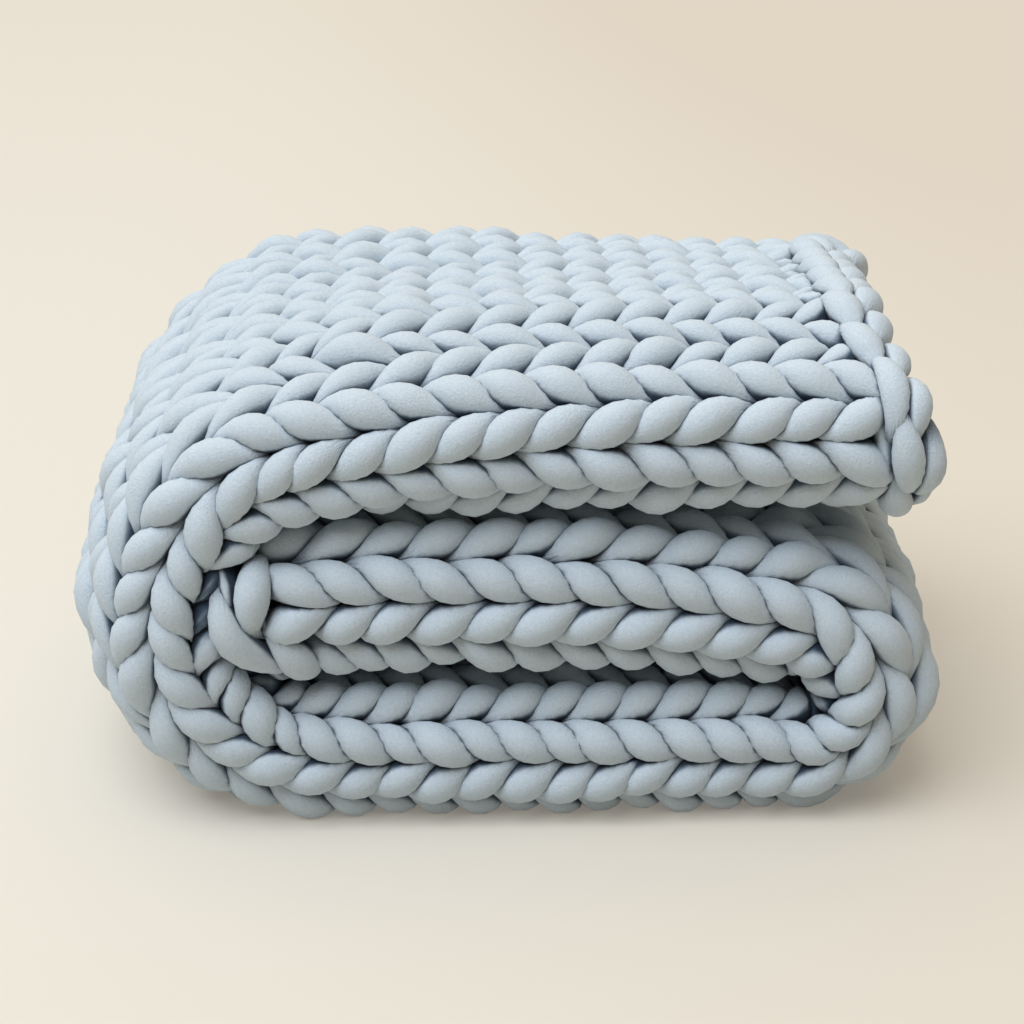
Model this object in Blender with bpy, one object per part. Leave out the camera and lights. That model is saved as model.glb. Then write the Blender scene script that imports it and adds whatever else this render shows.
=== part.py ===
"""Chunky hand-knitted weighted blanket, folded for a shelf.

The blanket is one knitted rectangle of fat, stuffed tube yarn. It is folded in half along its
length, which gives a double layer with its fold at the front and its two selvedges at the back,
and that double layer is folded over twice into three. The whole blanket is one solid: a U-shaped
section, open at the back, swept along the fold path from the cast-on end at the top right to the
cast-off end inside the left turn. The stitches themselves are surface detail and are not here.

Axes: +X along the layers to the cast-on end, -Y the side of the lengthwise fold, +Z up.
"""
import math

import bmesh
import bpy
import numpy as np

MM = 0.001

# Driving dimensions, in millimetres
YARN_RADIUS = 14.7
KNIT_THICKNESS = 50.0
HALF_WIDTH = 502.0
LAYER_CLEARANCE = 3.0
NOSE_WALL = 0.9
SELVEDGE_TAPER = 26.0
SELVEDGE_THICKNESS = 0.62
SELVEDGE_WAVE = 5.0
SELVEDGE_WAVELENGTH = 410.0
SLIP_AT_SELVEDGE = 0.3
STATION_SPACING = 40.0
STATION_TURN = 12.0

# Where the middle of the double layer starts, at the cast-on end: x, z and heading in degrees
PATH_START = (329.6, 321.6, 180.0)
# Depth of the lengthwise fold's outermost stitch line in front of the origin
FOLD_LINE_Y = -244.5

# The fold path, one row for each stretch: length, turn in degrees
PATH = (
    (82, 0),      # top layer, at the cast-on end
    (218, 2),
    (126, 8),     # it begins to slope
    (90, 12),
    (49, 36),     # shoulder of the left turn
    (93, 30),
    (82, 50),
    (68, 34),
    (87, 8),      # into the bottom layer
    (300, 0),
    (72, 90),     # right turn
    (93, 80),
    (164, 7),     # middle layer
    (266, 6),     # to the cast-off end
)

# The U section along the path. All are measured to the centre line of the outermost yarn.
#   station  distance along the path
#   nose     depth of the rounded lengthwise fold
#   nose_out, nose_in    half height just behind the fold, outer and inner half
#   body_out, body_in    half height of the body behind it
#   bulge    how far the body swells out past the fold in the turns
#   slip     how far the fold line has slipped off the middle of the knit
SECTION_COLUMNS = ("station", "nose", "nose_out", "nose_in", "body_out", "body_in", "bulge", "slip")
SECTIONS = (
    (0, 41, 39, 50, 48, 50, 0, 0),
    (218, 41, 41, 50, 48, 50, 0, 0),
    (360, 41, 44, 44, 48, 46, 4, -3),
    (436, 41, 48, 37, 48, 37, 13, -4),
    (523, 36, 54, 22, 50, 22, 18, 0),
    (610, 32, 58, 12, 54, 31, 28, 0),
    (676, 31, 58, 14, 58, 37, 34, 0),
    (741, 31, 54, 30, 56, 46, 34, 0),
    (807, 28, 44, 41, 48, 48, 16, 0),
    (870, 28, 39, 41, 39, 48, 2, 0),
    (1144, 28, 39, 41, 37, 46, 0, 0),
    (1221, 33, 41, 26, 42, 28, 7, 4),
    (1286, 37, 46, 28, 48, 30, 8, 17),
    (1373, 41, 50, 44, 46, 41, 2, 36),
    (1526, 41, 52, 50, 46, 44, 0, 40),
    (1700, 41, 50, 50, 46, 44, 0, 40),
    (1765, 41, 44, 48, 39, 42, 0, 40),
    (1790, 38, 21, 36, 17, 28, 0, 40),
)

# The top face is crested behind the fold and dips towards the back: depth, rise
TOP_CREST = (
    (41, 0),
    (68, 8),
    (120, 13),
    (207, 4),
    (283, -3),
    (360, -2),
    (425, -4),
    (490, -20),
)
TOP_CREST_ENDS = (414, 523)
# The back of the top face rises towards the left turn: station, rise
BACK_RISE = (
    (0, -26),
    (110, -22),
    (260, -14),
    (400, -3),
    (520, 3),
)
BACK_RISE_DEPTHS = (240, 470)

# The cast-on end is drawn in a little: share of the width, and the stations it fades over
END_PULL = 0.07
END_PULL_STATIONS = (20, 180)

# Places along each half of the section, from the lengthwise fold to the selvedge
SECTION_STEPS = (14, 28, 43, 60, 85, 120, 165, 215, 270, 330, 390, 440, 476)

BLANKET_COLOUR = (0.424, 0.539, 0.638, 1.0)
BLANKET_ROUGHNESS = 0.9


def smooth_step(low, high, value):
    """0 below low, 1 above high, and a smooth rise between them."""
    t = np.clip((value - low) / (high - low), 0.0, 1.0)
    return t * t * (3.0 - 2.0 * t)


def smooth_table(value, places, values):
    """Read a short table with an eased curve between its rows."""
    places = np.asarray(places, float)
    values = np.asarray(values, float)
    row = np.clip(np.searchsorted(places, value) - 1, 0, len(places) - 2)
    t = np.clip((value - places[row]) / (places[row + 1] - places[row]), 0.0, 1.0)
    t = t * t * (3.0 - 2.0 * t)
    return values[row] * (1.0 - t) + values[row + 1] * t


def section_value(station, column):
    index = SECTION_COLUMNS.index(column)
    return smooth_table(station, [r[0] for r in SECTIONS], [r[index] for r in SECTIONS])


def path_stations():
    """Distance, x, z and heading of each station along the fold path's lines and arcs."""
    x, z, heading = PATH_START
    heading = math.radians(heading)
    distance = 0.0
    stations = [(distance, x, z, heading)]
    for length, turn in PATH:
        steps = max(math.ceil(length / STATION_SPACING), math.ceil(turn / STATION_TURN))
        step = length / steps
        bend = math.radians(turn) / steps
        chord = step * (math.sin(bend / 2) / (bend / 2) if bend else 1.0)
        for _ in range(steps):
            x += chord * math.cos(heading + bend / 2)
            z += chord * math.sin(heading + bend / 2)
            heading += bend
            distance += step
            stations.append((distance, x, z, heading))
    return stations


def swell_line(station, side, depth):
    """How far the turns swell outwards, growing from the fold and easing off at the back."""
    swell = section_value(station, "bulge") * smooth_step(-11.0, 142.0, depth)
    if side > 0:
        swell = swell * (1.0 - 0.1 * smooth_step(218.0, 490.0, depth))
    return swell


def yarn_line(station, side):
    """Depth and height of the outermost yarn's centre line over one half of the section.

    side is 1 for the half on the outside of the turns and -1 for the half on the inside.
    Also gives the length along the knit from the lengthwise fold.
    """
    half = "out" if side > 0 else "in"
    nose = section_value(station, "nose")
    nose_height = section_value(station, "nose_" + half)
    body_height = section_value(station, "body_" + half)
    angle = np.linspace(0.0, math.pi / 2, 13)
    flat = np.arange(6.0, HALF_WIDTH + 60.0, 6.0)
    depth = np.concatenate([nose * (1.0 - np.cos(angle)), nose + flat])
    rounding = np.concatenate([np.sin(angle), np.ones(len(flat))])
    height = nose_height * rounding
    height = height + (body_height - nose_height) * smooth_step(nose, nose + 98.0, depth)
    if side > 0:
        on_top = 1.0 - smooth_step(TOP_CREST_ENDS[0], TOP_CREST_ENDS[1], station)
        back = smooth_step(*BACK_RISE_DEPTHS, depth) * smooth_table(station, *zip(*BACK_RISE))
        height = height + on_top * (smooth_table(depth, *zip(*TOP_CREST)) + back)
    height = side * height + swell_line(station, side, depth)
    along = np.concatenate([[0.0], np.cumsum(np.hypot(np.diff(depth), np.diff(height)))])
    return depth, height, along


def half_section(station, side):
    """Outer skin and inner skin points of one half, from the fold to the selvedge."""
    depth, height, along = yarn_line(station, side)
    wave = SELVEDGE_WAVE * math.sin(2 * math.pi * station / SELVEDGE_WAVELENGTH + side)
    edge = HALF_WIDTH + side * SLIP_AT_SELVEDGE * section_value(station, "slip") + wave
    edge *= 1.0 - END_PULL * (1.0 - smooth_step(*END_PULL_STATIONS, station))
    places = np.array([0.0] + [u * edge / HALF_WIDTH for u in SECTION_STEPS] + [edge])
    taper = 1.0 - (1.0 - SELVEDGE_THICKNESS) * smooth_step(edge - SELVEDGE_TAPER, edge, places)

    y = np.interp(places, along, depth)
    n = np.interp(places, along, height)
    reach = 3.0
    dy = np.interp(places + reach, along, depth) - np.interp(places - reach, along, depth)
    dn = np.interp(places + reach, along, height) - np.interp(places - reach, along, height)
    dy[0], dn[0] = 0.0, side
    grow = YARN_RADIUS * taper / np.hypot(dy, dn)
    outer = list(zip(y - side * dn * grow, n + side * dy * grow))

    start = section_value(station, "nose") * NOSE_WALL
    inner_y = start + (y[-1] - start) * places / edge
    middle = np.interp(inner_y, depth, swell_line(station, side, depth))
    gap = side * (np.interp(inner_y, depth, height) - middle)
    gap = np.maximum(gap - (KNIT_THICKNESS - YARN_RADIUS) * taper, LAYER_CLEARANCE)
    gap[0] = 0.0
    inner = list(zip(inner_y, middle + side * gap))
    return outer, inner


def blanket_section(station):
    """The closed U section: outer skin round the fold, and the inner skin beside it."""
    outer_a, inner_a = half_section(station, 1)
    outer_b, inner_b = half_section(station, -1)
    return outer_a[::-1] + outer_b[1:], inner_a[::-1] + inner_b[1:]


def placed(point, x, z, heading):
    """A section point, in millimetres, at its station. The floor flattens what meets it."""
    depth, height = point
    return (
        (x + height * math.sin(heading)) * MM,
        (FOLD_LINE_Y + depth) * MM,
        max(z - height * math.cos(heading), 0.0) * MM,
    )


def loft_blanket(mesh):
    """Sweep the U section along the fold path and close its two ends."""
    bm = bmesh.new()
    rings = []
    for distance, x, z, heading in path_stations():
        outer, inner = blanket_section(distance)
        rings.append([
            [bm.verts.new(placed(p, x, z, heading)) for p in outer],
            [bm.verts.new(placed(p, x, z, heading)) for p in inner],
        ])
    last = len(rings[0][0]) - 1
    for (outer_a, inner_a), (outer_b, inner_b) in zip(rings, rings[1:]):
        for k in range(last):
            bm.faces.new((outer_a[k], outer_a[k + 1], outer_b[k + 1], outer_b[k]))
            bm.faces.new((inner_a[k + 1], inner_a[k], inner_b[k], inner_b[k + 1]))
        bm.faces.new((outer_a[0], outer_b[0], inner_b[0], inner_a[0]))
        bm.faces.new((outer_a[last], inner_a[last], inner_b[last], outer_b[last]))
    for outer, inner in (rings[0], rings[-1]):
        for k in range(last):
            bm.faces.new((outer[k], outer[k + 1], inner[k + 1], inner[k]))
    bmesh.ops.recalc_face_normals(bm, faces=bm.faces)
    bm.to_mesh(mesh)
    bm.free()


def knit_material():
    material = bpy.data.materials.new("cotton_tube_yarn")
    material.use_nodes = True
    shader = material.node_tree.nodes["Principled BSDF"]
    shader.inputs["Base Color"].default_value = BLANKET_COLOUR
    shader.inputs["Roughness"].default_value = BLANKET_ROUGHNESS
    shader.inputs["Metallic"].default_value = 0.0
    return material


def main():
    for obj in list(bpy.data.objects):
        bpy.data.objects.remove(obj, do_unlink=True)
    collection = bpy.data.collections.new("weighted_blanket")
    bpy.context.scene.collection.children.link(collection)
    mesh = bpy.data.meshes.new("knitted_blanket")
    loft_blanket(mesh)
    mesh.materials.append(knit_material())
    mesh.shade_smooth()
    blanket = bpy.data.objects.new("knitted_blanket", mesh)
    collection.objects.link(blanket)


main()
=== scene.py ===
"""Looks of the chunky hand-knitted weighted blanket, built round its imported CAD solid.

Every stitch is a loop of one fat, stuffed cotton tube yarn. Its centre line is worked out from
the way a plain knit hangs together, and is laid on the folded surface of the CAD part. The tubes
are then squeezed where they press on each other, as stuffed jersey does.

Places on the knit are read in three directions, all in millimetres: the station along the fold
path, which starts at the cast-on end; across the knit from the lengthwise fold, below 0 on the
half that is outside in the turns; and out of the folded surface.
"""
import math
from functools import lru_cache
from typing import NamedTuple

import bmesh
import bpy
import numpy as np
from bpy.props import FloatProperty, FloatVectorProperty, IntProperty, PointerProperty
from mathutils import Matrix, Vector
from mathutils.kdtree import KDTree


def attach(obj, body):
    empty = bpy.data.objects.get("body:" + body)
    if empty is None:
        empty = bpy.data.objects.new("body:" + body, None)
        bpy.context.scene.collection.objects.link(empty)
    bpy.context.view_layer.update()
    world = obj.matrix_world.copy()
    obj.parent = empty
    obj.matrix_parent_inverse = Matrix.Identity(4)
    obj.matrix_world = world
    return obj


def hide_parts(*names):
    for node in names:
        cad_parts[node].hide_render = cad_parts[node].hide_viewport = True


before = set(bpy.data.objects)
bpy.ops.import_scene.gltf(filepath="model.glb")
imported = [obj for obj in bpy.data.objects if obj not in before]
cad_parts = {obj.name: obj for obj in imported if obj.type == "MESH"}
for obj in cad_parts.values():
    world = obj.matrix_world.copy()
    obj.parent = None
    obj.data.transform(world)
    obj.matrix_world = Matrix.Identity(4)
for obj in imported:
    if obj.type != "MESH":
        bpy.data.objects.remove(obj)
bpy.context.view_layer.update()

bl_info = {
    "name": "Chunky Knit Weighted Blanket",
    "version": (1, 0, 0),
    "blender": (4, 5, 0),
    "location": "3D View > Sidebar > Blanket",
    "description": "Knits a folded weighted blanket stitch by stitch and lights it on a pale floor",
    "category": "Object",
}

MM = 0.001

# ---- The folds, as in the CAD part, in millimetres and degrees ----
PATH_START = (329.6, 321.6, 180.0)
FOLD_LINE_Y = -244.5
# One row for each stretch of the fold path: length, turn
PATH = (
    (82, 0), (218, 2), (126, 8), (90, 12), (49, 36), (93, 30), (82, 50),
    (68, 34), (87, 8), (300, 0), (72, 90), (93, 80), (164, 7), (266, 6),
)
PATH_LENGTH = sum(row[0] for row in PATH)
PATH_STEP = 4.0
SECTION_COLUMNS = ("station", "nose", "nose_out", "nose_in", "body_out", "body_in", "bulge", "slip")
SECTIONS = (
    (0, 41, 39, 50, 48, 50, 0, 0),
    (218, 41, 41, 50, 48, 50, 0, 0),
    (360, 41, 44, 44, 48, 46, 4, -3),
    (436, 41, 48, 37, 48, 37, 13, -4),
    (523, 36, 54, 22, 50, 22, 18, 0),
    (610, 32, 58, 12, 54, 31, 28, 0),
    (676, 31, 58, 14, 58, 37, 34, 0),
    (741, 31, 54, 30, 56, 46, 34, 0),
    (807, 28, 44, 41, 48, 48, 16, 0),
    (870, 28, 39, 41, 39, 48, 2, 0),
    (1144, 28, 39, 41, 37, 46, 0, 0),
    (1221, 33, 41, 26, 42, 28, 7, 4),
    (1286, 37, 46, 28, 48, 30, 8, 17),
    (1373, 41, 50, 44, 46, 41, 2, 36),
    (1526, 41, 52, 50, 46, 44, 0, 40),
    (1700, 41, 50, 50, 46, 44, 0, 40),
    (1765, 41, 46, 48, 42, 42, 0, 40),
    (1790, 38, 32, 38, 24, 30, 0, 40),
)
# Depth behind the fold over which the section passes from its nose heights to its body heights
BODY_BEGINS = 98.0
# The swell of the turns: the depths over which it rises, and where and how much it eases off
SWELL_DEPTHS = (-11.0, 142.0)
SWELL_EASES = (218.0, 490.0)
SWELL_EASE = 0.1
# The top face is crested behind the fold: depth, rise
TOP_CREST = ((41, 0), (68, 8), (120, 13), (207, 4), (283, -3), (360, -2), (425, -4), (490, -20))
TOP_CREST_ENDS = (414, 523)
# Its back rises towards the left turn: station, rise
BACK_RISE = ((0, -26), (110, -22), (260, -14), (400, -3), (520, 3))
BACK_RISE_DEPTHS = (240, 470)
# Away from the fold the courses begin further in from the cast-on end, whose edge is drawn in
END_SKEW = 14.0
END_SKEW_STATIONS = (0, 280)
END_SKEW_ACROSS = (30, 130)
END_PULL = 0.07
END_PULL_STATIONS = (20, 180)
# The cast-off edge is pulled back where it turns under
LAST_SKEW = 36.0
LAST_SKEW_STATIONS = (1620, 1790)
LAST_SKEW_ACROSS = (42, 90)
# Share of the fold line's slip that reaches the selvedges
SLIP_AT_SELVEDGE = 0.3

# The surface is worked out on a grid and read between its places
GRID_STATION = 6.0
GRID_ALONG = 4.0
GRID_MARGIN = 60.0
GRID_REACH = 640.0
NOSE_ANGLES = 13
BODY_STEP = 6.0
NORMAL_REACH = 4.0
# Keeps a grid place inside the last cell, and a length above zero
GRID_END = 1.001
TINY = 1e-9

# ---- The knit ----
# Edges of the columns of stitches on one half, from the lengthwise fold
WALE_EDGES = (0, 65, 130, 193, 255, 317, 379, 441, 503)
# Course spacing along the fold path: station, pitch
COURSE_PITCH = (
    (0, 38.0), (420, 37.0), (560, 30.0), (740, 29.5), (830, 32.7),
    (1150, 32.7), (1300, 34.0), (1400, 38.0), (1790, 38.0),
)
FIRST_COURSE = 64.0
LAST_COURSE = 1752.0
# How far a loop's legs lean together towards its feet, as a share of the column's width
LEG_LEAN = 0.29
# How much smaller a loop's steps are along its legs, where each step goes further
LEG_STEPS_SMALLER = 0.24
# The course pitch at which a loop has its full reach
REACH_PITCH = 38.0
# The loops that meet the edge chains are short, fat and hardly tucked
FIRST_FOOT = 26.0
LAST_HEAD = 43.0
LAST_HEAD_GATHER = 0.36
FIRST_TUCK = 0.2
LAST_TUCK = 0.42
# How fat the yarn stays towards a tuck: smaller is fatter for longer
TUCK_FULLNESS = 0.33
# A leg is a little flattened, and rounder where it is tucked
LEG_FLATNESS = 1.1
TUCK_ROUNDS = 0.27
# How soon a loop sinks on its way to its head and feet: smaller is sooner
TUCK_STEEPNESS = 0.75
# Unevenness of hand work, in millimetres: along, across, out, radius
UNEVEN = (2.0, 1.3, 1.5, 0.5)
# The yarn's turn at a selvedge: how far it bows out, how far it rises, and how fat it is
SELVEDGE_TURN = 10.0
SELVEDGE_TURN_RISE = 6.0
SELVEDGE_TURN_RADIUS = 14.0
SELVEDGE_TURN_FULLNESS = 0.3
SELVEDGE_TURN_FLATTENS = 0.2
SELVEDGE_TURN_RINGS = 12
# Rings and sides of a stitch, by how closely it is seen
DETAIL = {"front": (32, 30), "face": (24, 20), "hidden": (14, 10)}
# Wales 0 to 7 are the outer half and 8 to 15 the inner. The front shows the wales by the fold, and
# one more on the middle layer. The two selvedge wales show at the back. The outer half's other
# wales show too, but not on the underside or on the middle layer.
FRONT_WALES = (5, 9)
MIDDLE_LAYER_BEGINS = 1390.0
UNDERSIDE = (830.0, 1120.0)
# On the top, where the knit is stretched flat, the painted shade in the press lines and tucks, and the
# pleats by the tucks, are weaker: by this share, up to this station
FLAT_TOP_SHADE_SHARE = 0.52
FLAT_TOP_END = 600.0
# The pieces of the knit, and the station at which each ends
LAYERS = (
    ("knit_top_layer", 450),
    ("knit_left_turn", 790),
    ("knit_bottom_layer", 1150),
    ("knit_right_turn", 1400),
    ("knit_middle_layer", 9999),
)

# ---- The chains along the cast-on and cast-off edges ----
# One row for each chain: piece, facing, first, links, pitch, shear. facing is 1 where the knit
# lies ahead of the chain, and first is where the first link's middle lies, across the knit
CHAINS = (
    ("cast_on_chain", 1, 468.0, 19, 50.0, 0.7),
    ("cast_off_chain", -1, 461.0, 19, 49.8, -0.9),
)
# Rows of across, station, lean, width, lift, girth: where each chain's middle lies, how far it
# leans out over the edge, in degrees, how wide and high it is, and how fat its yarn is, as a
# share of the knit's yarn
CHAIN_LINES = {
    "cast_on_chain": (
        (-460, 37, 20, 44, 9, 1.04), (-130, 44, 20, 44, 9, 1.04), (-95, 43, 20, 40, 9, 0.95),
        (-45, 37, 20, 36, 9, 0.83), (-20, 32, 20, 36, 9, 0.83), (20, 22, 20, 36, 9, 0.83),
        (70, 22, 24, 36, 9, 0.83), (460, 13, 24, 36, 9, 0.83)),
    "cast_off_chain": (
        (-460, 1796, 14, 36, 6, 0.92), (-25, 1801, 14, 34, 6, 0.8), (30, 1791, 6, 46, 12, 1.04),
        (80, 1791, -8, 46, 13, 0.98), (140, 1794, -14, 36, 6, 0.92), (460, 1794, -14, 36, 6, 0.92)),
}
# A link's reach as a share of the pitch, how its legs lean, how deep its head and feet sink, how
# round the chain's back is, and how much a link's legs are turned to face out of it
CHAIN_REACH = 0.98
CHAIN_LEAN = 0.21
CHAIN_DEPTH = 9.0
CHAIN_CROWN = 60.0
CHAIN_TILT = 30.0
CHAIN_FLATNESS = 1.03
CHAIN_TUCK_ROUNDS = 0.2
# A link is a loop that stops a little short of its feet
LINK_END = 0.86 * math.pi
LINK_STEPS_SMALLER = 0.12
CHAIN_RINGS = 28
CHAIN_SIDES = 28
# How far ahead the surface is read for its forward direction
FORWARD_REACH = 2.0
# The first link has no neighbour behind it, so its ends stay fat
FIRST_LINK_TUCK = 0.3
# The last link is a big open loop on top of the others, a little out past the edge
LAST_LINK_OUT = 17.0
LAST_LINK_SHIFT = 8.0
LAST_LINK_REACH = 1.15
LAST_LINK_SPREAD = 1.6
LAST_LINK_SHEAR = -0.1
LAST_LINK_LIFT = 3.0
LAST_LINK_GIRTH = 0.89

# ---- Contact ----
# Two rings press on each other when they are this near and, on one strand, this far apart along it
CONTACT_REACH = 38.0
SAME_YARN_REACH = 48.0
# Rings nearer than this are the place where one strand goes on in another
JOINED = 2.0
# Pressed tubes run into each other by a hair, so that no light shows between them
CONTACT_GAP = -0.1
CONTACT_ROUNDING = 5.0
CONTACT_SMOOTHINGS = 2
# How much a pressed tube swells elsewhere, in how many rounds, and how thin it can be pressed
PLUMPEST = 1.02
PLUMPING_ROUNDS = 2
PRESSED_THINNEST = 2.0
THINNEST = 1.5
# How far a tube could reach where nothing holds it
FREE = 1e3
# A direction that faces a neighbour less than this never meets it
FACES_AWAY = 1e-3
# The faces round a tube are narrower on the side that shows
GIRTH_BIAS = 0.3
# The dome on a strand's end, as shares of its radius: where its ring lies, how wide and how high
DOME_REACH, DOME_GIRTH, DOME_HEIGHT = 0.5, 0.78, 0.8


class Yarn(NamedTuple):
    """What the blanket is knitted from, and how, in millimetres."""
    radius: float
    tucked_radius: float
    loop_depth: float
    loop_reach: float
    unevenness: float
    seed: int


class Course(NamedTuple):
    """One row of stitches. edge is -1 on the first course, 1 on the last and 0 on the rest."""
    station: float
    pitch: float
    edge: int


def smooth_step(low, high, value):
    """0 below low, 1 above high, and a smooth rise between them."""
    t = np.clip((value - low) / (high - low), 0.0, 1.0)
    return t * t * (3.0 - 2.0 * t)


def smooth_table(value, places, values):
    """Read a short table with an eased curve between its rows."""
    places = np.asarray(places, float)
    values = np.asarray(values, float)
    row = np.clip(np.searchsorted(places, value) - 1, 0, len(places) - 2)
    t = np.clip((value - places[row]) / (places[row + 1] - places[row]), 0.0, 1.0)
    t = t * t * (3.0 - 2.0 * t)
    return values[row] * (1.0 - t) + values[row + 1] * t


def section_value(station, column):
    index = SECTION_COLUMNS.index(column)
    return smooth_table(station, [r[0] for r in SECTIONS], [r[index] for r in SECTIONS])


class FoldedSurface:
    """The surface on which the knit's outermost yarn lies, read by station and place across."""

    def __init__(self):
        self.stations = np.arange(-GRID_MARGIN, PATH_LENGTH + GRID_MARGIN, GRID_STATION)
        self.along = np.arange(0.0, GRID_REACH, GRID_ALONG)
        self.grids = {side: self.half_grid(side) for side in (1, -1)}
        self.path = self.trace_path()

    def half_grid(self, side):
        """Depth and height of one half of the section, at each station and each length along."""
        half = "out" if side > 0 else "in"
        depths, heights = [], []
        angle = np.linspace(0.0, math.pi / 2, NOSE_ANGLES)
        flat = np.arange(BODY_STEP, GRID_REACH, BODY_STEP)
        for station in self.stations:
            nose = section_value(station, "nose")
            nose_height = section_value(station, "nose_" + half)
            body_height = section_value(station, "body_" + half)
            depth = np.concatenate([nose * (1.0 - np.cos(angle)), nose + flat])
            height = nose_height * np.concatenate([np.sin(angle), np.ones(len(flat))])
            height += (body_height - nose_height) * smooth_step(nose, nose + BODY_BEGINS, depth)
            swell = section_value(station, "bulge") * smooth_step(*SWELL_DEPTHS, depth)
            if side > 0:
                on_top = 1.0 - smooth_step(*TOP_CREST_ENDS, station)
                back = smooth_step(*BACK_RISE_DEPTHS, depth) * smooth_table(station, *zip(*BACK_RISE))
                height += on_top * (smooth_table(depth, *zip(*TOP_CREST)) + back)
                swell *= 1.0 - SWELL_EASE * smooth_step(*SWELL_EASES, depth)
            height = side * height + swell
            step = np.hypot(np.diff(depth), np.diff(height))
            run = np.concatenate([[0.0], np.cumsum(step)])
            depths.append(np.interp(self.along, run, depth))
            heights.append(np.interp(self.along, run, height))
        return np.array(depths), np.array(heights)

    def trace_path(self):
        """Distance, x, z and heading along the fold path's lines and arcs."""
        x, z, heading = PATH_START
        heading = math.radians(heading)
        rows = [(0.0, x, z, heading)]
        for length, turn in PATH:
            steps = max(2, math.ceil(length / PATH_STEP))
            step, bend = length / steps, math.radians(turn) / steps
            for _ in range(steps):
                x += step * math.cos(heading + bend / 2)
                z += step * math.sin(heading + bend / 2)
                heading += bend
                rows.append((rows[-1][0] + step, x, z, heading))
        return np.array(rows).T

    def on_path(self, station):
        """Where the fold path is and where it heads, straight on past both of its ends."""
        distance, x, z, heading = self.path
        before, after = np.minimum(station, 0.0), np.maximum(station - PATH_LENGTH, 0.0)
        px = np.interp(station, distance, x)
        pz = np.interp(station, distance, z)
        px = px + before * math.cos(heading[0]) + after * math.cos(heading[-1])
        pz = pz + before * math.sin(heading[0]) + after * math.sin(heading[-1])
        return px, pz, np.interp(station, distance, heading)

    def half(self, station, across):
        """Depth and height of the surface, blended from the four nearest grid places."""
        a = np.clip((station - self.stations[0]) / GRID_STATION, 0, len(self.stations) - GRID_END)
        b = np.clip(np.abs(across) / GRID_ALONG, 0, len(self.along) - GRID_END)
        i, j = a.astype(int), b.astype(int)
        fa, fb = a - i, b - j
        found = []
        for k in range(2):
            outer, inner = self.grids[1][k], self.grids[-1][k]
            corner = [np.where(across < 0, outer[i + p, j + q], inner[i + p, j + q])
                      for p in (0, 1) for q in (0, 1)]
            found.append((corner[0] * (1 - fb) + corner[1] * fb) * (1 - fa)
                         + (corner[2] * (1 - fb) + corner[3] * fb) * fa)
        return found

    def place(self, station, across, out):
        """Points that far out of the surface, and the surface's outward directions there."""
        skew = END_SKEW * (1.0 - smooth_step(*END_SKEW_STATIONS, station))
        across = across * (1.0 - END_PULL * (1.0 - smooth_step(*END_PULL_STATIONS, station)))
        pull = LAST_SKEW * smooth_step(*LAST_SKEW_STATIONS, station)
        station = (station + skew * smooth_step(*END_SKEW_ACROSS, np.abs(across))
                   - pull * smooth_step(*LAST_SKEW_ACROSS, across))
        slip = section_value(station, "slip")
        hold = 1.0 - (1.0 - SLIP_AT_SELVEDGE) * np.clip(np.abs(across) / WALE_EDGES[-1], 0.0, 1.0)
        across = across - slip * hold
        depth, height = self.half(station, across)
        depth_a, height_a = self.half(station, across - NORMAL_REACH)
        depth_b, height_b = self.half(station, across + NORMAL_REACH)
        run_y, run_n = depth_b - depth_a, height_b - height_a
        size = np.hypot(run_y, run_n) + TINY
        out_y, out_n = run_n / size, -run_y / size
        x, z, heading = self.on_path(station)
        depth, height = depth + out * out_y, height + out * out_n
        sine, cosine = np.sin(heading), np.cos(heading)
        point = np.stack([x + height * sine, FOLD_LINE_Y + depth, z - height * cosine], -1)
        outward = np.stack([out_n * sine, out_y, -out_n * cosine], -1)
        return point, outward


# ---- Strands of yarn ----
class Strand:
    """A length of yarn: its centre line, the knit's outward direction, its size and its piece."""

    def __init__(self, piece, line, outward, radius, flatness, sides, gather, shade_share=1.0):
        self.piece = piece
        self.line = line
        self.outward = outward
        self.radius = radius
        self.flatness = flatness
        self.sides = sides
        # The gather is scaled by the strand's share, which weakens the painted shade in its tucks and its
        # pleats
        self.gather = shade_share * np.clip(gather, 0.0, 1.0)
        self.shade_share = shade_share
        step = np.linalg.norm(np.diff(line, axis=0), axis=1)
        self.run = np.concatenate([[0.0], np.cumsum(step)])


def detail_of(station, wale):
    """How closely a stitch is seen."""
    first, last = FRONT_WALES
    if first <= wale <= last + (station > MIDDLE_LAYER_BEGINS):
        return "front"
    if wale in (0, 15):
        return "face"
    if station < MIDDLE_LAYER_BEGINS and wale < first and not UNDERSIDE[0] < station < UNDERSIDE[1]:
        return "face"
    return "hidden"


def tucked(near_end):
    """How narrow a loop's yarn is: 1 at its head and feet, 0 halfway along a leg."""
    return near_end / (near_end + TUCK_FULLNESS * (1.0 - near_end))


def all_courses():
    """Where the courses lie along the fold path, closer together where the knit is tight."""
    distance = np.arange(FIRST_COURSE, LAST_COURSE + 0.5, 1.0)
    rate = 1.0 / smooth_table(distance, *zip(*COURSE_PITCH))
    count = np.concatenate([[0.0], np.cumsum(rate[1:])])
    rows = round(count[-1]) + 1
    stations = np.interp(np.linspace(0.0, count[-1], rows), count, distance)
    edges = [-1] + [0] * (rows - 2) + [1]
    return [Course(*row) for row in zip(stations, np.gradient(stations), edges)]


def loop_reach(yarn, course):
    """How far a loop's head and feet lie from its middle."""
    return yarn.loop_reach * math.sqrt(course.pitch / REACH_PITCH)


def foot_reach(yarn, course):
    return FIRST_FOOT if course.edge < 0 else loop_reach(yarn, course)


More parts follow.
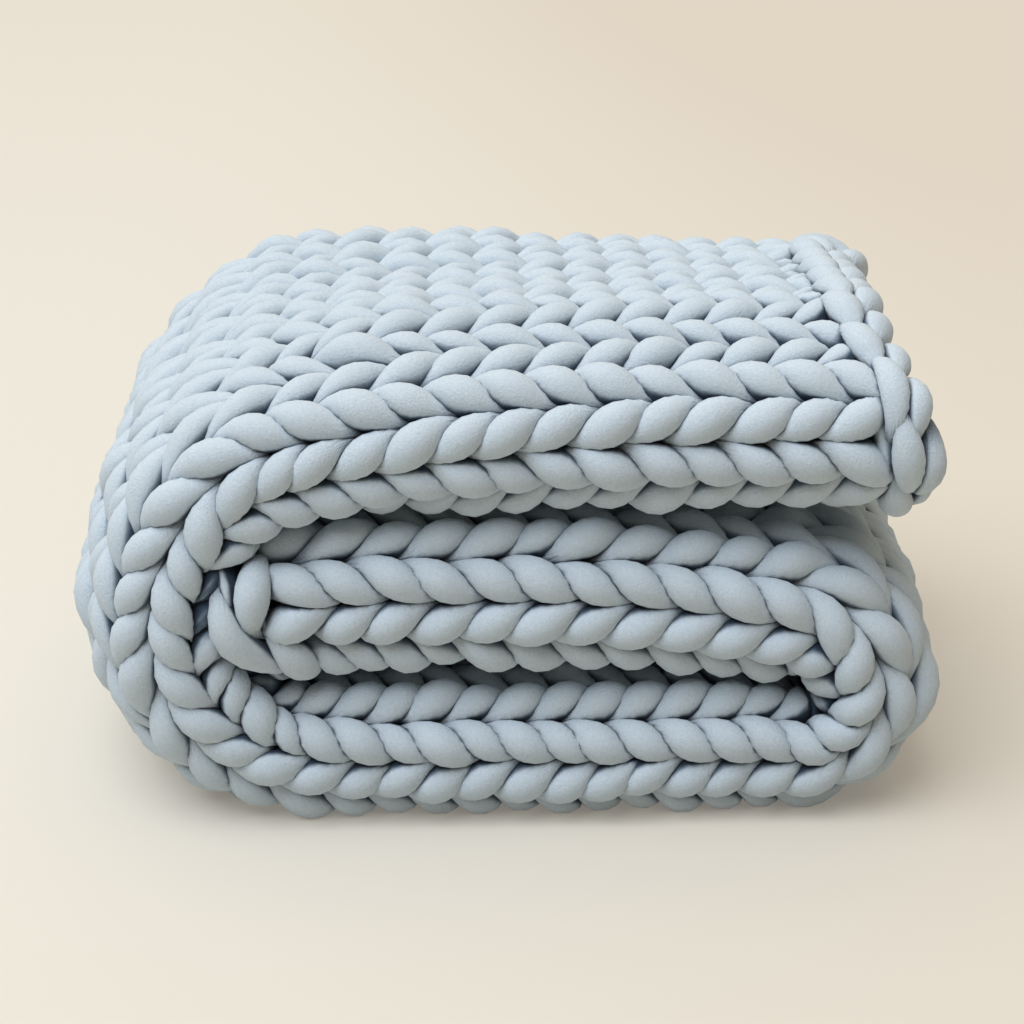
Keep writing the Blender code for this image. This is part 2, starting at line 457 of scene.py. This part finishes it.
def stitch(yarn, course, low, high, t, own):
    """One loop, from one foot over its head to the other foot, between two column edges.

    Rows of the result: along, across, out, radius, flatness.
    """
    leg = np.sin(t) ** 2
    at_head = 0.5 + 0.5 * np.cos(t)
    head, foot = loop_reach(yarn, course), foot_reach(yarn, course)
    hold, spread = 1.0, high - low
    if course.edge < 0:
        hold = 1.0 - (1.0 - FIRST_TUCK) * (1.0 - at_head ** 2)
    if course.edge > 0:
        head, hold = LAST_HEAD, 1.0 - (1.0 - LAST_TUCK) * at_head
        spread = spread * (1.0 - LAST_HEAD_GATHER * at_head)
    tuck = tucked(1 - leg) * hold
    waver = own * UNEVEN * leg[:, None]
    return np.stack([
        course.station + (foot + (head - foot) * at_head) * np.cos(t) + waver[:, 0],
        (low + high) / 2 + spread * (t / (2 * math.pi) + LEG_LEAN * np.sin(2 * t)) + waver[:, 1],
        -2 * yarn.loop_depth * hold * (1 - leg) ** TUCK_STEEPNESS + waver[:, 2],
        yarn.radius + (yarn.tucked_radius - yarn.radius) * tuck + waver[:, 3],
        LEG_FLATNESS - TUCK_ROUNDS * tuck,
    ])


def selvedge_turn(yarn, course, following, side):
    """The yarn's turn at the selvedge, from a course's last foot up to the next course's."""
    turn = np.linspace(0, 1, SELVEDGE_TURN_RINGS + 1)[1:]
    bow = np.sin(math.pi * turn)
    start = course.station - foot_reach(yarn, course)
    end = following.station - foot_reach(yarn, following)
    fatter = SELVEDGE_TURN_RADIUS - yarn.tucked_radius
    return np.stack([
        start + (end - start) * turn,
        side * (WALE_EDGES[-1] + SELVEDGE_TURN * bow),
        -2 * yarn.loop_depth + SELVEDGE_TURN_RISE * bow,
        yarn.tucked_radius + fatter * bow ** SELVEDGE_TURN_FULLNESS,
        LEG_FLATNESS - TUCK_ROUNDS + SELVEDGE_TURN_FLATTENS * bow,
    ])


def knit_courses(surface, yarn):
    """Every course of stitches, as strands that change from fine to coarse out of sight."""
    edges = [-e for e in WALE_EDGES[:0:-1]] + list(WALE_EDGES)
    wales = len(edges) - 1
    courses = all_courses()
    rng = np.random.default_rng(yarn.seed)
    shift = yarn.unevenness * rng.normal(0.0, 1.0, (len(courses), wales, 2, 4))
    strands = []
    for number, course in enumerate(courses):
        piece = next(name for name, end in LAYERS if course.station < end)
        seen = [detail_of(course.station, wale) for wale in range(wales)]
        turns_at_start = number % 2 == 0
        start = 0
        while start < wales:
            stop = start
            while stop < wales and seen[stop] == seen[start]:
                stop += 1
            rings, sides = DETAIL[seen[start]]
            rows = []
            for wale in range(start, stop):
                even = np.linspace(-math.pi, math.pi, rings + 1)[(0 if wale == start else 1):]
                t = even + LEG_STEPS_SMALLER * np.sin(2 * even)
                own = np.where((t < 0)[:, None], shift[number, wale, 0], shift[number, wale, 1])
                rows.append(stitch(yarn, course, edges[wale], edges[wale + 1], t, own))
            if number + 1 < len(courses):
                if start == 0 and turns_at_start:
                    rows.insert(0, selvedge_turn(yarn, course, courses[number + 1], -1)[:, ::-1])
                if stop == wales and not turns_at_start:
                    rows.append(selvedge_turn(yarn, course, courses[number + 1], 1))
            along, across, out, radius, flat = np.concatenate(rows, axis=1)
            line, outward = surface.place(along, across, out)
            on_top = course.station < FLAT_TOP_END and start < FRONT_WALES[0]
            gather = (yarn.radius - radius) / (yarn.radius - yarn.tucked_radius)
            strands.append(Strand(
                piece, line, outward, radius, flat, sides, gather, FLAT_TOP_SHADE_SHARE if on_top else 1.0))
            start = stop
    return strands


def edge_chain(surface, yarn, row):
    """One edge chain: a column of loops that runs across the knit along its end."""
    piece, facing, first, links, pitch, shear = row
    places, *readings = zip(*CHAIN_LINES[piece])
    strands = []
    for link in range(links):
        middle = first - link * pitch
        t = np.linspace(-LINK_END, LINK_END, CHAIN_RINGS + 1)
        t = t + LINK_STEPS_SMALLER * np.sin(2 * t)
        leg = np.sin(t) ** 2
        head = np.abs(t) < math.pi / 2
        tuck = tucked(1 - leg)
        if link == 0:
            tuck = np.where(head, tuck, FIRST_LINK_TUCK * tuck)
        station, lean, width, lift, girth = (smooth_table(middle, places, r) for r in readings)
        lean = math.radians(lean)
        across = width * (t / (2 * math.pi) + CHAIN_LEAN * np.sin(2 * t))
        depth = -2 * CHAIN_DEPTH * (1 - leg)
        reach = CHAIN_REACH * pitch
        is_last = link == links - 1
        if is_last:
            station = station - facing * LAST_LINK_OUT
            middle, reach = middle + LAST_LINK_SHIFT, reach * LAST_LINK_REACH
            across, shear, girth = across * LAST_LINK_SPREAD, LAST_LINK_SHEAR, LAST_LINK_GIRTH
            depth = np.where(head, LAST_LINK_LIFT, depth + LAST_LINK_LIFT * leg)
        along = middle - reach * np.cos(t) - shear * across
        rise = lift + depth - across ** 2 / CHAIN_CROWN
        s = station + facing * (across * math.cos(lean) - rise * math.sin(lean))
        w = across * math.sin(lean) + rise * math.cos(lean)
        line, outward = surface.place(s, along, w)
        ahead, _ = surface.place(s + FORWARD_REACH, along, w)
        forward = ahead - line
        forward /= np.linalg.norm(forward, axis=1)[:, None]
        tilt = lean + np.arctan(-across / CHAIN_TILT)
        outward = outward * np.cos(tilt)[:, None] - facing * forward * np.sin(tilt)[:, None]
        full = girth * yarn.radius
        radius = full + (yarn.tucked_radius - full) * tuck
        if is_last:
            radius = np.where(head, full, radius)
        gather = (full - radius) / (full - yarn.tucked_radius)
        flatness = CHAIN_FLATNESS - CHAIN_TUCK_ROUNDS * tuck
        strands.append(Strand(piece, line, outward, radius, flatness, CHAIN_SIDES, gather))
    return strands


# ---- Contact between the tubes ----
def girth_angles(sides):
    """Angles round the yarn, closer together on the outward side that shows."""
    even = np.arange(sides) * 2 * math.pi / sides
    return math.pi / 2 + even - GIRTH_BIAS * np.sin(even)


def ring_area(shape, angle):
    """Area of each ring given as radii at these angles."""
    wedge = np.sin(np.roll(angle, -1) - angle)
    return 0.5 * (shape * np.roll(shape, -1, 1) * wedge).sum(1)


def set_frames(strands):
    """Give each strand the side and up directions across its centre line."""
    for s in strands:
        along = np.gradient(s.line, axis=0)
        along /= np.linalg.norm(along, axis=1)[:, None]
        side = np.cross(along, s.outward)
        s.side = side / np.linalg.norm(side, axis=1)[:, None]
        s.up = np.cross(s.side, along)


def find_neighbours(strands, line):
    """Pairs of rings of different yarn that are near each other, sorted by the first."""
    which = np.concatenate([np.full(len(s.line), k) for k, s in enumerate(strands)])
    run = np.concatenate([s.run for s in strands])
    tree = KDTree(len(line))
    for k, point in enumerate(line.tolist()):
        tree.insert(point, k)
    tree.balance()
    first, second = [], []
    for k, point in enumerate(line.tolist()):
        near = [found[1] for found in tree.find_range(point, CONTACT_REACH)]
        first.extend([k] * len(near))
        second.extend(near)
    first, second = np.array(first), np.array(second)
    apart = (which[first] != which[second]) | (np.abs(run[first] - run[second]) > SAME_YARN_REACH)
    joined = np.linalg.norm(line[first] - line[second], axis=1) < JOINED
    keep = apart & ~joined
    return first[keep], second[keep]


def press(strand, held, angle):
    """Set a strand's rings, pressed flat where they are held, and how hard each place is pressed."""
    if len(held) > 2:
        for _ in range(CONTACT_SMOOTHINGS):
            held[1:-1] = (held[:-2] + 2 * held[1:-1] + held[2:]) / 4
    height = np.sin(angle)[None, :] / strand.flatness[:, None]
    free = strand.radius[:, None] / np.hypot(np.cos(angle)[None, :], height)
    full = ring_area(free, angle)
    for _ in range(PLUMPING_ROUNDS):
        t = np.clip(0.5 + 0.5 * (held - free) / CONTACT_ROUNDING, 0.0, 1.0)
        shape = held * (1 - t) + free * t - CONTACT_ROUNDING * t * (1 - t)
        strand.shape = np.maximum(shape, THINNEST)
        strand.crease = 1.0 - t
        growth = np.sqrt(full / ring_area(strand.shape, angle))
        free = free * np.clip(growth, 1.0, PLUMPEST)[:, None]


def squeeze(strands):
    """Press every tube flat on its neighbours and on the floor.

    Two tubes meet on the plane from which both are equally far, each measured from its surface.
    """
    set_frames(strands)
    line = np.concatenate([s.line for s in strands])
    side = np.concatenate([s.side for s in strands])
    up = np.concatenate([s.up for s in strands])
    radius = np.concatenate([s.radius for s in strands])
    first, second = find_neighbours(strands, line)
    away = line[second] - line[first]
    reach = ((away ** 2).sum(1) + radius[first] ** 2 - radius[second] ** 2) / 2
    on_side = (away * side[first]).sum(1)
    on_up = (away * up[first]).sum(1)
    starts = np.cumsum([0] + [len(s.line) for s in strands])
    ring_sides = np.concatenate([np.full(len(s.line), s.sides) for s in strands])
    for sides in sorted(set(ring_sides)):
        mine = np.flatnonzero(ring_sides == sides)
        place = np.full(len(line), -1)
        place[mine] = np.arange(len(mine))
        pair = np.flatnonzero(place[first] >= 0)
        owner = place[first[pair]]
        begin = np.flatnonzero(np.concatenate([[True], owner[1:] != owner[:-1]]))
        limit = np.full((len(mine), sides), FREE)
        angle = girth_angles(sides)
        for k, a in enumerate(angle):
            ahead = math.cos(a) * on_side[pair] + math.sin(a) * on_up[pair]
            stop = np.where(ahead > FACES_AWAY, reach[pair] / np.maximum(ahead, FACES_AWAY), FREE)
            limit[owner[begin], k] = np.minimum.reduceat(stop, begin)
            down = math.cos(a) * side[mine, 2] + math.sin(a) * up[mine, 2]
            floor = np.where(down < -FACES_AWAY, line[mine, 2] / np.maximum(-down, FACES_AWAY), FREE)
            limit[:, k] = np.minimum(limit[:, k] - CONTACT_GAP, floor)
        limit = np.maximum(limit, PRESSED_THINNEST)
        for k, s in enumerate(strands):
            if s.sides == sides:
                press(s, limit[place[starts[k]:starts[k + 1]]], angle)


@lru_cache(maxsize=1)
def squeezed_yarn(yarn):
    """Every strand of the blanket. They press on each other, so they are worked out together."""
    surface = FoldedSurface()
    strands = knit_courses(surface, yarn)
    for row in CHAINS:
        strands += edge_chain(surface, yarn, row)
    squeeze(strands)
    return strands


# ---- Meshes ----
def domed_rings(s):
    """A strand's rings with one smaller ring past each end, and the tips of the two domes."""
    size = s.shape[[0, -1]].mean(1)[:, None]
    tips = s.line[[0, -1]] - s.line[[1, -2]]
    tips = tips / np.linalg.norm(tips, axis=1)[:, None] * size
    ends = s.line[[0, -1]] + DOME_REACH * tips
    centres = np.concatenate([ends[:1], s.line, ends[1:]])
    shape = np.concatenate([s.shape[:1] * DOME_GIRTH, s.shape, s.shape[-1:] * DOME_GIRTH])
    run = np.concatenate([s.run[:1] - DOME_REACH * size[0], s.run, s.run[-1:] + DOME_REACH * size[1]])
    spread = np.concatenate([[0], np.arange(len(s.line)), [-1]])
    angle = girth_angles(s.sides)
    ring = (np.cos(angle)[None, :, None] * s.side[spread][:, None, :]
            + np.sin(angle)[None, :, None] * s.up[spread][:, None, :])
    points = centres[:, None, :] + shape[:, :, None] * ring
    return points, s.line[[0, -1]] + DOME_HEIGHT * tips, run, spread


def tube_mesh(name, strands):
    """One mesh of closed tubes, with the yarn's length and girth as its UV map."""
    verts, faces, uvs, creases, gathers = [], [], [], [], []
    base = 0
    for s in strands:
        points, tips, run, spread = domed_rings(s)
        rings, n = points.shape[:2]
        verts += [points.reshape(-1, 3), tips]
        # The crease and gather attributes drive the painted shade along press lines and in tucks, scaled
        # by the strand's share
        creases += [s.shade_share * s.crease[spread].ravel(), [0.0, 0.0]]
        gathers += [np.repeat(s.gather[spread], n), s.gather[[0, -1]]]
        i, k = np.meshgrid(np.arange(rings - 1), np.arange(n), indexing="ij")
        after = (k + 1) % n
        quad = np.stack([i * n + k, (i + 1) * n + k, (i + 1) * n + after, i * n + after], -1)
        faces += (base + quad.reshape(-1, 4)).tolist()
        turn = np.arange(n + 1) / n
        uvs.append(np.stack([
            np.stack([run[i], turn[k]], -1), np.stack([run[i + 1], turn[k]], -1),
            np.stack([run[i + 1], turn[k + 1]], -1), np.stack([run[i], turn[k + 1]], -1),
        ], 2).reshape(-1, 2))
        end = base + rings * n
        last = end - n
        k, after = np.arange(n), (np.arange(n) + 1) % n
        faces += np.stack([base + k, np.full(n, end), base + after], -1).tolist()
        faces += np.stack([last + after, np.full(n, end + 1), last + k], -1).tolist()
        uvs.append(np.zeros((6 * n, 2)))
        base = end + 2
    verts = np.concatenate(verts) * MM
    verts[:, 2] = np.maximum(verts[:, 2], 0.0)
    mesh = bpy.data.meshes.new(name)
    mesh.from_pydata(verts.tolist(), [], faces)
    layer = mesh.uv_layers.new(name="yarn")
    layer.data.foreach_set("uv", (np.concatenate(uvs) * [MM, 1.0]).astype(np.float32).ravel())
    for kind, values in (("crease", creases), ("gather", gathers)):
        attribute = mesh.attributes.new(kind, "FLOAT", "POINT")
        attribute.data.foreach_set("value", np.concatenate(values).astype(np.float32))
    mesh.shade_smooth()
    mesh.update()
    return mesh


def knit_pieces(names, props):
    """Make the named pieces from the strands that belong to them."""
    yarn = Yarn(
        props.yarn_radius / MM, props.tucked_radius / MM, props.loop_depth / MM,
        props.loop_reach / MM, props.unevenness, props.seed)
    strands = squeezed_yarn(yarn)
    material = bpy.data.materials.get("cotton_jersey_tube") or cotton_jersey_tube(props)
    for name in names:
        mesh = tube_mesh(name, [s for s in strands if s.piece == name])
        mesh.materials.append(material)
        piece = bpy.data.objects.new(name, mesh)
        bpy.context.scene.collection.objects.link(piece)
        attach(piece, "root")
        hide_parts("knitted_blanket")


# ---- Materials ----
def to_linear(hex_colour):
    """A colour written as sRGB hex, as the linear values a shader takes."""
    values = [int(hex_colour[k:k + 2], 16) / 255 for k in (1, 3, 5)]
    return tuple(v / 12.92 if v <= 0.04045 else ((v + 0.055) / 1.055) ** 2.4 for v in values) + (1.0,)


def add_node(tree, kind, settings=None, inputs=None, links=None):
    """Add a node, set its properties and inputs, and link sockets into it."""
    node = tree.nodes.new(kind)
    for key, value in (settings or {}).items():
        setattr(node, key, value)
    for key, value in (inputs or {}).items():
        node.inputs[key].default_value = value
    for key, source in (links or {}).items():
        tree.links.new(source, node.inputs[key])
    return node


def cotton_jersey_tube(look):
    """Matt brushed cotton jersey over soft filling.

    The eye sees a dull, slightly mottled blue, a fine grain and small pleats where a tube is drawn
    in. Shade is painted into its colour: painted shade along the lines where two tubes press
    together, and deep in the tucks. The jersey's own loops, 0.6 mm apart, are drawn at 1.6 mm so
    that they show.
    """
    material = bpy.data.materials.new("cotton_jersey_tube")
    material.use_nodes = True
    tree = material.node_tree
    shader = tree.nodes["Principled BSDF"]
    shader.inputs["Roughness"].default_value = 0.92
    shader.inputs["Specular IOR Level"].default_value = 0.2
    shader.inputs["Sheen Weight"].default_value = 0.12
    shader.inputs["Sheen Roughness"].default_value = 0.5
    place = add_node(tree, "ShaderNodeTexCoord")
    mottle = add_node(
        tree, "ShaderNodeTexNoise", inputs={"Scale": 520.0, "Detail": 3.0, "Roughness": 0.65},
        links={"Vector": place.outputs["Object"]})
    cloth = add_node(
        tree, "ShaderNodeMix", {"data_type": "RGBA"},
        {6: (*look.cloth_dark, 1.0), 7: (*look.cloth_light, 1.0)}, {0: mottle.outputs["Fac"]})
    # Painted shade: the cloth is darkened towards the press line colour where two tubes press together, by
    # the crease attribute
    crease = add_node(tree, "ShaderNodeAttribute", {"attribute_name": "crease"})
    dark = add_node(
        tree, "ShaderNodeMapRange", {"interpolation_type": "SMOOTHSTEP"},
        {"From Min": 0.14, "From Max": 0.68, "To Min": 0.0, "To Max": 0.97},
        {"Value": crease.outputs["Fac"]})
    shaded = add_node(
        tree, "ShaderNodeMix", {"data_type": "RGBA"},
        {7: (*look.press_line_shade, 1.0)}, {0: dark.outputs["Result"], 6: cloth.outputs[2]})
    gather = add_node(tree, "ShaderNodeAttribute", {"attribute_name": "gather"})
    # Painted shade: the cloth is darkened towards the tuck shade colour deep in the tucks, by the gather
    # attribute
    sunk = add_node(
        tree, "ShaderNodeMapRange", {"interpolation_type": "SMOOTHSTEP"},
        {"From Min": 0.3, "From Max": 0.9, "To Min": 0.0, "To Max": 0.75},
        {"Value": gather.outputs["Fac"]})
    tuck_shaded = add_node(
        tree, "ShaderNodeMix", {"data_type": "RGBA"},
        {7: (*look.tuck_shade, 1.0)}, {0: sunk.outputs["Result"], 6: shaded.outputs[2]})
    tree.links.new(tuck_shaded.outputs[2], shader.inputs["Base Color"])
    yarn = add_node(tree, "ShaderNodeUVMap", {"uv_map": "yarn"})
    pleats = add_node(
        tree, "ShaderNodeMapping", inputs={"Scale": (62.0, 24.0, 1.0)},
        links={"Vector": yarn.outputs["UV"]})
    folds = add_node(
        tree, "ShaderNodeTexNoise", inputs={"Scale": 1.0, "Detail": 2.0, "Roughness": 0.55},
        links={"Vector": pleats.outputs["Vector"]})
    near_tuck = add_node(
        tree, "ShaderNodeMapRange", {"interpolation_type": "SMOOTHSTEP"},
        {"From Min": 0.12, "From Max": 0.75, "To Min": 0.0, "To Max": 1.0},
        {"Value": gather.outputs["Fac"]})
    pleated = add_node(
        tree, "ShaderNodeMath", {"operation": "MULTIPLY"},
        links={0: folds.outputs["Fac"], 1: near_tuck.outputs["Result"]})
    gathers = add_node(
        tree, "ShaderNodeBump", inputs={"Strength": 1.0, "Distance": 0.004},
        links={"Height": pleated.outputs[0]})
    grain = add_node(
        tree, "ShaderNodeTexNoise", inputs={"Scale": 620.0, "Detail": 2.0, "Roughness": 0.6},
        links={"Vector": place.outputs["Object"]})
    bump = add_node(
        tree, "ShaderNodeBump", inputs={"Strength": 0.65, "Distance": 0.0012},
        links={"Height": grain.outputs["Fac"], "Normal": gathers.outputs["Normal"]})
    tree.links.new(bump.outputs["Normal"], shader.inputs["Normal"])
    return material


def pale_painted_floor(look):
    """Matt painted board of one warm off-white, with painted light falloff that darkens it a little to the
    right and far away, and a painted glow of its own that lifts its shadows.
    """
    material = bpy.data.materials.new("pale_painted_floor")
    material.use_nodes = True
    tree = material.node_tree
    shader = tree.nodes["Principled BSDF"]
    shader.inputs["Roughness"].default_value = 0.95
    shader.inputs["Specular IOR Level"].default_value = 0.1
    # Painted glow: the floor gives light of its own, which lifts its shadows
    shader.inputs["Emission Color"].default_value = to_linear("#FFF6EA")
    shader.inputs["Emission Strength"].default_value = look.floor_glow
    place = add_node(tree, "ShaderNodeTexCoord")
    parts = add_node(tree, "ShaderNodeSeparateXYZ", links={"Vector": place.outputs["Object"]})
    # Painted light falloff: the floor is blended towards a darker colour to the right and far away
    right = add_node(
        tree, "ShaderNodeMapRange", {"interpolation_type": "SMOOTHSTEP"},
        {"From Min": -0.6, "From Max": 0.9, "To Min": 0.0, "To Max": 0.8}, {"Value": parts.outputs["X"]})
    far = add_node(
        tree, "ShaderNodeMapRange", {"interpolation_type": "SMOOTHSTEP"},
        {"From Min": 0.3, "From Max": 4.0, "To Min": 0.0, "To Max": 0.5}, {"Value": parts.outputs["Y"]})
    # Share of the darker colour of the painted light falloff
    shade_share = add_node(
        tree, "ShaderNodeMath", {"operation": "ADD", "use_clamp": True},
        links={0: right.outputs["Result"], 1: far.outputs["Result"]})
    floor_with_falloff = add_node(
        tree, "ShaderNodeMix", {"data_type": "RGBA"},
        {6: (*look.floor_near, 1.0), 7: (*look.floor_falloff_shade, 1.0)}, {0: shade_share.outputs[0]})
    tree.links.new(floor_with_falloff.outputs[2], shader.inputs["Base Color"])
    return material


# ---- Stage ----
# Soft boxes overhead, at the left and behind, as lobes of light: direction, sharpness, strength
SOFT_BOXES = (
    ((0.0, 0.0, 1.0), 2.0, 0.76),
    ((0.0, 0.0, 1.0), 6.0, 0.44),
    ((-0.5, 0.1, 0.86), 6.0, 0.56),
    ((-0.3, 0.62, 0.72), 3.0, 0.53),
)
KEY_DIRECTION = (-0.36, -0.31, 0.88)
FLOOR_SIZE = 30.0
CAMERA_PLACE = (-0.0563, -2.0648, 0.984)
CAMERA_DOWN, CAMERA_YAW = 21.5, 1.8
SENSOR_WIDTH = 36.0


def aim(obj, place, target):
    """Put a lamp or camera at a place and point it at a target."""
    obj.location = place
    obj.rotation_euler = (Vector(target) - Vector(place)).to_track_quat("-Z", "Y").to_euler()


def studio_air():
    """A world lit by warm soft boxes, which gives soft light and no hard highlights."""
    world = bpy.data.worlds.new("studio_air")
    world.use_nodes = True
    tree = world.node_tree
    background = tree.nodes["Background"]
    background.inputs["Color"].default_value = to_linear("#FFF0DA")
    place = add_node(tree, "ShaderNodeTexCoord")
    total = None
    for direction, sharpness, strength in SOFT_BOXES:
        facing = add_node(
            tree, "ShaderNodeVectorMath", {"operation": "DOT_PRODUCT"}, {1: direction},
            {0: place.outputs["Generated"]})
        lit = add_node(
            tree, "ShaderNodeMath", {"operation": "MAXIMUM"}, {1: 0.0}, {0: facing.outputs["Value"]})
        lobe = add_node(
            tree, "ShaderNodeMath", {"operation": "POWER"}, {1: sharpness}, {0: lit.outputs[0]})
        links = {0: lobe.outputs[0]}
        if total:
            links[2] = total
        total = add_node(
            tree, "ShaderNodeMath", {"operation": "MULTIPLY_ADD"}, {1: strength, 2: 0.0}, links).outputs[0]
    tree.links.new(total, background.inputs["Strength"])
    return world


# ---- Add-on ----
class BlanketKnitProperties(bpy.types.PropertyGroup):
    """Sizes and colours of the knit."""
    yarn_radius: FloatProperty(
        name="Yarn radius", description="Half the thickness of the stuffed tube yarn",
        default=16.3 * MM, min=10 * MM, max=20 * MM, unit="LENGTH", subtype="DISTANCE", precision=4)
    tucked_radius: FloatProperty(
        name="Tucked radius", description="Half the yarn's thickness where a loop draws it in",
        default=5.5 * MM, min=2 * MM, max=10 * MM, unit="LENGTH", subtype="DISTANCE", precision=4)
    loop_depth: FloatProperty(
        name="Loop depth", description="How far a loop's head and feet sink into the knit",
        default=13.5 * MM, min=5 * MM, max=20 * MM, unit="LENGTH", subtype="DISTANCE", precision=4)
    loop_reach: FloatProperty(
        name="Loop reach", description="How far a loop's head and feet lie from its middle",
        default=54.0 * MM, min=40 * MM, max=65 * MM, unit="LENGTH", subtype="DISTANCE", precision=4)
    unevenness: FloatProperty(
        name="Unevenness", description="How much the hand-made stitches differ",
        default=1.0, min=0.0, max=3.0, subtype="FACTOR")
    seed: IntProperty(name="Seed", description="Which uneven stitches are drawn", default=7, min=0)
    cloth_dark: FloatVectorProperty(
        name="Cloth, dark", description="Darker colour of the jersey's mottle",
        default=to_linear("#A8B7C1")[:3], min=0.0, max=1.0, subtype="COLOR")
    cloth_light: FloatVectorProperty(
        name="Cloth, light", description="Lighter colour of the jersey's mottle",
        default=to_linear("#CDD8DE")[:3], min=0.0, max=1.0, subtype="COLOR")
    # Painted shade along the lines where two tubes press together
    press_line_shade: FloatVectorProperty(
        name="Press line", description="Colour where two tubes press together",
        default=to_linear("#33465A")[:3], min=0.0, max=1.0, subtype="COLOR")
    # Painted shade deep in the tucks between stitches
    tuck_shade: FloatVectorProperty(
        name="Tuck shade", description="Colour deep in the tucks between stitches",
        default=to_linear("#42566B")[:3], min=0.0, max=1.0, subtype="COLOR")


class BlanketStageProperties(bpy.types.PropertyGroup):
    """Light, floor and lens of the stage."""
    key_strength: FloatProperty(
        name="Key light", description="Strength of the large light at the front left",
        default=2.76, min=0.0, max=10.0)
    key_spread: FloatProperty(
        name="Key spread", description="How wide the key light looks, which softens its shadows",
        default=math.radians(50.0), min=0.0, max=math.radians(90.0), unit="ROTATION", subtype="ANGLE")
    key_colour: FloatVectorProperty(
        name="Key colour", description="Colour of the key light",
        default=to_linear("#E4EEFF")[:3], min=0.0, max=1.0, subtype="COLOR")
    floor_near: FloatVectorProperty(
        name="Floor, left", description="Floor colour at the left and near the camera",
        default=to_linear("#BBB9AF")[:3], min=0.0, max=1.0, subtype="COLOR")
    # Painted light falloff: the darker colour the floor blends to at the right and far away
    floor_falloff_shade: FloatVectorProperty(
        name="Floor, right", description="Floor colour at the right and far away",
        default=to_linear("#ADA596")[:3], min=0.0, max=1.0, subtype="COLOR")
    floor_glow: FloatProperty(
        name="Floor glow", description="Light of its own that lifts the floor's shadows",
        default=0.19, min=0.0, max=1.0)
    lens: FloatProperty(
        name="Lens", description="Focal length of the camera", default=90.0, min=20.0, max=200.0,
        unit="CAMERA", subtype="DISTANCE_CAMERA")


class BLANKET_OT_knit_layers(bpy.types.Operator):
    """Knit the folded layers and turns of the blanket."""
    bl_idname = "blanket.knit_layers"
    bl_label = "Knit the Layers"

    def execute(self, context):
        knit_pieces([name for name, _ in LAYERS], context.scene.blanket_knit)
        return {"FINISHED"}


class BLANKET_OT_edge_chains(bpy.types.Operator):
    """Make the cast-on and cast-off chains along the blanket's two ends."""
    bl_idname = "blanket.edge_chains"
    bl_label = "Make the Edge Chains"

    def execute(self, context):
        knit_pieces([row[0] for row in CHAINS], context.scene.blanket_knit)
        return {"FINISHED"}


class BLANKET_OT_stage(bpy.types.Operator):
    """Set up the floor, the light and the camera."""
    bl_idname = "blanket.stage"
    bl_label = "Set Up the Stage"

    def execute(self, context):
        scene = context.scene
        look = scene.blanket_stage
        bm = bmesh.new()
        bmesh.ops.create_grid(bm, x_segments=1, y_segments=1, size=FLOOR_SIZE)
        mesh = bpy.data.meshes.new("studio_floor")
        bm.to_mesh(mesh)
        bm.free()
        mesh.materials.append(pale_painted_floor(look))
        floor = bpy.data.objects.new("studio_floor", mesh)
        scene.collection.objects.link(floor)
        light = bpy.data.lights.new("key_light", "SUN")
        light.energy = look.key_strength
        light.color = look.key_colour
        light.angle = look.key_spread
        lamp = bpy.data.objects.new("key_light", light)
        scene.collection.objects.link(lamp)
        aim(lamp, KEY_DIRECTION, (0, 0, 0))
        scene.world = studio_air()
        lens = bpy.data.cameras.new("camera")
        lens.lens = look.lens
        lens.sensor_width = SENSOR_WIDTH
        camera = bpy.data.objects.new("camera", lens)
        scene.collection.objects.link(camera)
        down, yaw = math.radians(CAMERA_DOWN), math.radians(CAMERA_YAW)
        ahead = (math.sin(yaw) * math.cos(down), math.cos(yaw) * math.cos(down), -math.sin(down))
        aim(camera, CAMERA_PLACE, Vector(CAMERA_PLACE) + Vector(ahead))
        scene.camera = camera
        scene.view_settings.view_transform = "Standard"
        return {"FINISHED"}


OPERATORS = (BLANKET_OT_knit_layers, BLANKET_OT_edge_chains, BLANKET_OT_stage)


class BLANKET_PT_sidebar(bpy.types.Panel):
    """The blanket's sizes, colours and steps."""
    bl_label = "Weighted Blanket"
    bl_idname = "BLANKET_PT_sidebar"
    bl_space_type = "VIEW_3D"
    bl_region_type = "UI"
    bl_category = "Blanket"

    def draw(self, context):
        layout = self.layout
        for group in (context.scene.blanket_knit, context.scene.blanket_stage):
            column = layout.box().column()
            for name in group.bl_rna.properties.keys():
                if name not in ("rna_type", "name"):
                    column.prop(group, name)
        for operator in OPERATORS:
            layout.operator(operator.bl_idname)


CLASSES = (BlanketKnitProperties, BlanketStageProperties, *OPERATORS, BLANKET_PT_sidebar)


def register():
    for cls in CLASSES:
        bpy.utils.register_class(cls)
    bpy.types.Scene.blanket_knit = PointerProperty(type=BlanketKnitProperties)
    bpy.types.Scene.blanket_stage = PointerProperty(type=BlanketStageProperties)


def unregister():
    del bpy.types.Scene.blanket_stage
    del bpy.types.Scene.blanket_knit
    for cls in reversed(CLASSES):
        bpy.utils.unregister_class(cls)


def main():
    register()
    bpy.ops.blanket.knit_layers()
    bpy.ops.blanket.edge_chains()
    bpy.ops.blanket.stage()


if __name__ == "__main__":
    main()
